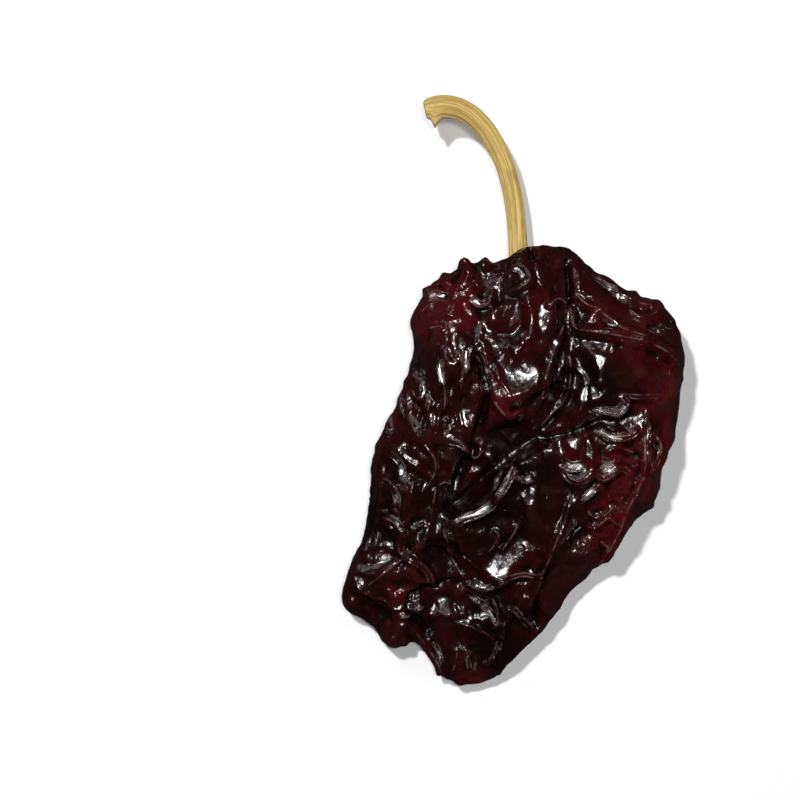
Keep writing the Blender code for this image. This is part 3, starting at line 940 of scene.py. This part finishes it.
    def _describe(self, sheet: SkinSheet) -> None:
        """Keeps the relief, which the material darkens in the hollows as painted shade, and the tone, the glow
        of thin skin with some painted light and shade, on the mesh, for its material.
        """
        lift = ((sheet.points - sheet.soften(sheet.points, 24)) * sheet.normals).sum(axis=0)
        sheet.keep("relief", np.clip(0.5 + lift / (0.9 * MM), 0.0, 1.0))
        tone = 0.5 + 0.35 * field_of(sheet.points, 20 * MM, 3, 4.4)
        for patch in TONES:
            tone += 0.55 * patch.amount * patch.share(sheet.points, TOP_SIDE)
        sheet.keep("tone", np.clip(tone, 0.0, 1.0))


def solid(name: str, rings: np.ndarray, finish: bpy.types.Material) -> tuple[bpy.types.Object, SkinSheet]:
    """A closed tube through rings of points.

    Args:
        name: the new object's name.
        rings: points, by ring, side and axis; each end is closed by its own middle.
        finish: its material.

    Returns:
        The object, and its mesh as arrays.
    """
    count, sides = rings.shape[:2]
    ends = rings[[0, -1]].mean(axis=1)
    points = np.vstack((rings.reshape(-1, 3), ends))
    ring, side = np.meshgrid(np.arange(count - 1), np.arange(sides), indexing="ij")
    here, after = ring * sides + side, ring * sides + (side + 1) % sides
    quads = np.stack((here, after, after + sides, here + sides), axis=-1).reshape(-1, 4)
    foot, tip = count * sides, count * sides + 1
    rim = (count - 1) * sides
    first = [(foot, (k + 1) % sides, k) for k in range(sides)]
    last = [(tip, rim + k, rim + (k + 1) % sides) for k in range(sides)]
    mesh = bpy.data.meshes.new(name)
    mesh.from_pydata(points.tolist(), [], quads.tolist() + first + last)
    mesh.update()
    mesh.shade_smooth()
    mesh.materials.append(finish)
    obj = bpy.data.objects.new(name, mesh)
    bpy.context.scene.collection.objects.link(obj)
    return obj, SkinSheet(mesh)


@dataclass
class Stalk:
    """The curved stalk, ribbed along its length and torn at its end, in the photograph's pixels and mm."""

    node: str = "stalk"
    # Pixel across, pixel down, height and radius in mm, from the calyx to the torn end.
    course: tuple[tuple[float, float, float, float], ...] = (
        (519.6, 276, 9.4, 2.5), (519.2, 262, 9.4, 2.5), (518.6, 246, 9.2, 2.36), (517.6, 230, 8.8, 2.33),
        (516.2, 213.6, 8.5, 2.33), (514.2, 199, 8.4, 2.33), (511.4, 185, 8.5, 2.33),
        (505.2, 163.6, 9.2, 2.36), (496.0, 145.0, 10.2, 2.42), (485.0, 128.8, 11.4, 2.5),
        (472.0, 116.4, 12.4, 2.62), (458.0, 109.4, 13.2, 2.78), (444.0, 107.6, 13.9, 2.92),
        (434.6, 109.2, 14.2, 2.95), (428.6, 110.4, 14.2, 2.7), (425.2, 111.2, 14.1, 2.1),
    )
    steps: int = 16
    sides: int = 90
    ribs: int = 9
    rib_depth: float = 0.022  # share of the radius, as is the next
    fibre_depth: float = 0.03
    fibre_cells: tuple[float, float] = (6.0, 3.0)  # how fine the fibres are round the stalk and along it
    twist: float = 0.9  # radians that the ribs turn along the stalk
    flap: float = 2.1 * MM  # how far the torn end hangs out of the stalk's inner side
    flap_at: float = 0.885  # share of the way along it
    flap_reach: float = 0.05
    torn_from: float = 0.97
    wood: StalkWood = field(default_factory=StalkWood)

    def build(self) -> bpy.types.Object:
        """Builds the stalk, riding on its body."""
        centre, radius = self._course()
        share = np.linspace(0.0, 1.0, len(centre))
        along = np.gradient(centre, axis=0)
        along /= np.linalg.norm(along, axis=1)[:, None]
        up = np.array((0.0, 0.0, 1.0))
        side = np.cross(along, up)
        side /= np.linalg.norm(side, axis=1)[:, None]
        over = np.cross(side, along)
        angle = np.arange(self.sides) / self.sides * 2 * math.pi
        turned = angle[None, :] + self.twist * share[:, None]
        rib = np.cos(self.ribs * turned + 0.6 * np.sin(2 * turned))
        fibre = self._fibres(turned, share)
        bulge = 1 + self.rib_depth * rib + self.fibre_depth * fibre
        wide = (radius[:, None] * bulge)[..., None]
        ring = side[:, None] * np.cos(angle)[None, :, None] + over[:, None] * np.sin(angle)[None, :, None]
        rings = centre[:, None] + wide * ring
        hanging = np.clip(1 - np.abs(share - self.flap_at) / self.flap_reach, 0, 1)
        inner = np.clip(-np.cos(angle), 0, None) ** 3
        rings[..., 1] -= self.flap * (hanging[:, None] * inner)
        obj, sheet = solid("stalk_wood", rings, self.wood.material())
        torn = np.repeat(smooth((share - self.torn_from) / (1 - self.torn_from)), self.sides)
        sheet.keep("relief", np.append(smooth(0.5 + 0.15 * rib + 0.6 * fibre).ravel(), (0.5, 0.5)))
        sheet.keep("fibre", np.append(smooth(0.5 + fibre).ravel(), (0.5, 0.5)))
        sheet.keep("torn", np.append(torn, (0.0, 1.0)))
        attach(obj, BODY)
        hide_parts(self.node)
        return obj

    def _course(self) -> tuple[np.ndarray, np.ndarray]:
        """The middle line's points in metres, and the radius at each."""
        course = through(np.array(self.course), self.steps)
        return np.column_stack((on_table(course[:, :2]), course[:, 2] * MM)), course[:, 3] * MM

    def _fibres(self, turned: np.ndarray, share: np.ndarray) -> np.ndarray:
        """Fine fibres of about -1 to 1, long along the stalk and narrow across it."""
        around, along = self.fibre_cells
        lengthwise = np.broadcast_to(along * share[:, None], turned.shape)
        rows = np.stack((around * np.cos(turned), around * np.sin(turned), lengthwise))
        return field_of(rows.reshape(3, -1), 1.0, 4, 2.2).reshape(turned.shape)


@dataclass
class Calyx:
    """The dry calyx in the pod's crown: a toothed, ribbed cup around the foot of the stalk."""

    node: str = "stalk"
    foot: Triple = (519.6, 268.0, 9.4)  # pixel across, pixel down and height in mm
    neck: float = 1.6 * MM  # radius where it meets the stalk
    radius: float = 6.9 * MM
    collar: float = 2.2 * MM  # how far it climbs the stalk
    depth: float = 2.6 * MM
    thickness: float = 0.5 * MM
    teeth: int = 5
    sides: int = 120
    steps: int = 26
    wood: StalkWood = StalkWood(
        straw=(0.21, 0.135, 0.045), pale=(0.33, 0.24, 0.09), furrow=(0.060, 0.034, 0.014)
    )

    def build(self) -> bpy.types.Object:
        """Builds the calyx, riding on its body."""
        middle = np.append(on_table((self.foot[:2],))[0], self.foot[2] * MM)
        angle = np.arange(self.sides) / self.sides * 2 * math.pi
        out = np.linspace(0.0, 1.0, self.steps)
        rings = np.concatenate((self._face(out, angle, 0.0), self._face(out[::-1], angle, self.thickness)))
        obj, sheet = solid("calyx", middle + rings, self.wood.material())
        wave = field_of(sheet.points, 1.3 * MM, 3, 8.1)
        sheet.keep("relief", smooth(0.5 + 0.8 * wave))
        sheet.keep("fibre", smooth(0.5 + 0.8 * field_of(sheet.points, 3.0 * MM, 3, 6.1)))
        sheet.keep("torn", np.zeros(len(wave)))
        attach(obj, BODY)
        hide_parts(self.node)
        return obj

    def _face(self, out: np.ndarray, angle: np.ndarray, under: float) -> np.ndarray:
        """Rings of one face of the cup, from the stalk outwards or back, this far under the upper face."""
        tooth = 0.5 + 0.5 * np.cos(self.teeth * angle + 0.5)
        edge = self.radius * (0.80 + 0.20 * tooth**1.5)
        out = out[:, None]
        radius = self.neck + (edge[None] - self.neck) * out
        veins = np.cos(4 * self.teeth * angle + 1.0)[None] * 0.20 * MM * np.sqrt(out)
        ribs = np.cos(self.teeth * angle + 0.5)[None] * 0.35 * MM * out
        crumple = 0.5 * MM * np.sin(3 * angle + 4 * out) * out**2
        back = self.depth * (0.15 + out**1.6) * (0.75 + 0.25 * tooth)
        climb = self.collar * np.exp(-((radius - self.neck) / (1.3 * MM)) ** 2)
        y = climb - back + (veins + ribs) + crumple - under
        return np.stack((-radius * np.cos(angle), y, radius * np.sin(angle)), axis=-1)


@dataclass
class Studio:
    """Camera, lights and floor, placed as in the photograph."""

    frame_pixels: float = 800.0
    distance: float = 0.62
    mid_height: float = 0.012
    sensor: float = 36.0
    room_light: float = 0.02

    def build(self) -> None:
        """Makes the camera, the lights and the floor."""
        self._camera()
        self._light("key_lamp", (-0.25, 0.30, 0.95), 0.06, 8.5)
        self._light("fill_lamp", (0.75, -0.15, 0.45), 0.5, 1.6, mirrored=False)
        self._light("overhead_lamp", (0.03, 0.04, 1.0), 0.10, 3.4, mirrored=False)
        self._light("soft_window", (-0.55, 0.75, 0.55), 0.45, 1.2)
        self._floor()
        world = bpy.data.worlds.new("soft_room")
        world.use_nodes = True
        background = world.node_tree.nodes["Background"]
        background.inputs["Color"].default_value = (1.0, 1.0, 1.0, 1.0)
        background.inputs["Strength"].default_value = self.room_light
        bpy.context.scene.world = world
        bpy.context.scene.view_settings.view_transform = "Standard"

    def _camera(self) -> None:
        """A camera that looks straight down, framed as the photograph is."""
        data = bpy.data.cameras.new("camera")
        data.sensor_width = self.sensor
        half_width = self.frame_pixels / 2 / PIXELS_PER_METRE
        data.lens = self.sensor / 2 * self.distance / half_width
        camera = bpy.data.objects.new("camera", data)
        middle = self.frame_pixels / 2
        camera.location = (
            (middle - BOX_MIDDLE[0]) / PIXELS_PER_METRE,
            (BOX_MIDDLE[1] - middle) / PIXELS_PER_METRE,
            self.distance + self.mid_height,
        )
        bpy.context.scene.collection.objects.link(camera)
        bpy.context.scene.camera = camera

    def _light(self, name: str, place: Triple, size: float, power: float, mirrored: bool = True) -> None:
        """Makes a square area light that faces the pepper, which shows in its gloss or doesn't."""
        data = bpy.data.lights.new(name, "AREA")
        data.size = size
        data.energy = power
        light = bpy.data.objects.new(name, data)
        light.location = place
        light.rotation_mode = "QUATERNION"
        light.rotation_quaternion = (-Vector(place)).to_track_quat("-Z", "Y")
        light.visible_glossy = mirrored
        bpy.context.scene.collection.objects.link(light)

    def _floor(self) -> None:
        """A wide plain floor under the pepper."""
        bpy.ops.mesh.primitive_plane_add(size=6.0, location=(0.0, 0.0, 0.0))
        floor = bpy.context.object
        floor.name = "table_top"
        floor.data.materials.append(PaleTable().material())
        floor.visible_glossy = False  # the photograph's skin shows no bright ground in its gloss


def main() -> None:
    """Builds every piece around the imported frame, in order."""
    logging.basicConfig(level=logging.INFO, format="%(message)s")
    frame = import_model()
    Studio().build()
    pieces = [Pod().build(frame), Stalk().build(), Calyx().build()]
    for piece in pieces:
        LOG.info("%s: %d faces", piece.name, len(piece.data.polygons))


if __name__ == "__main__":
    main()
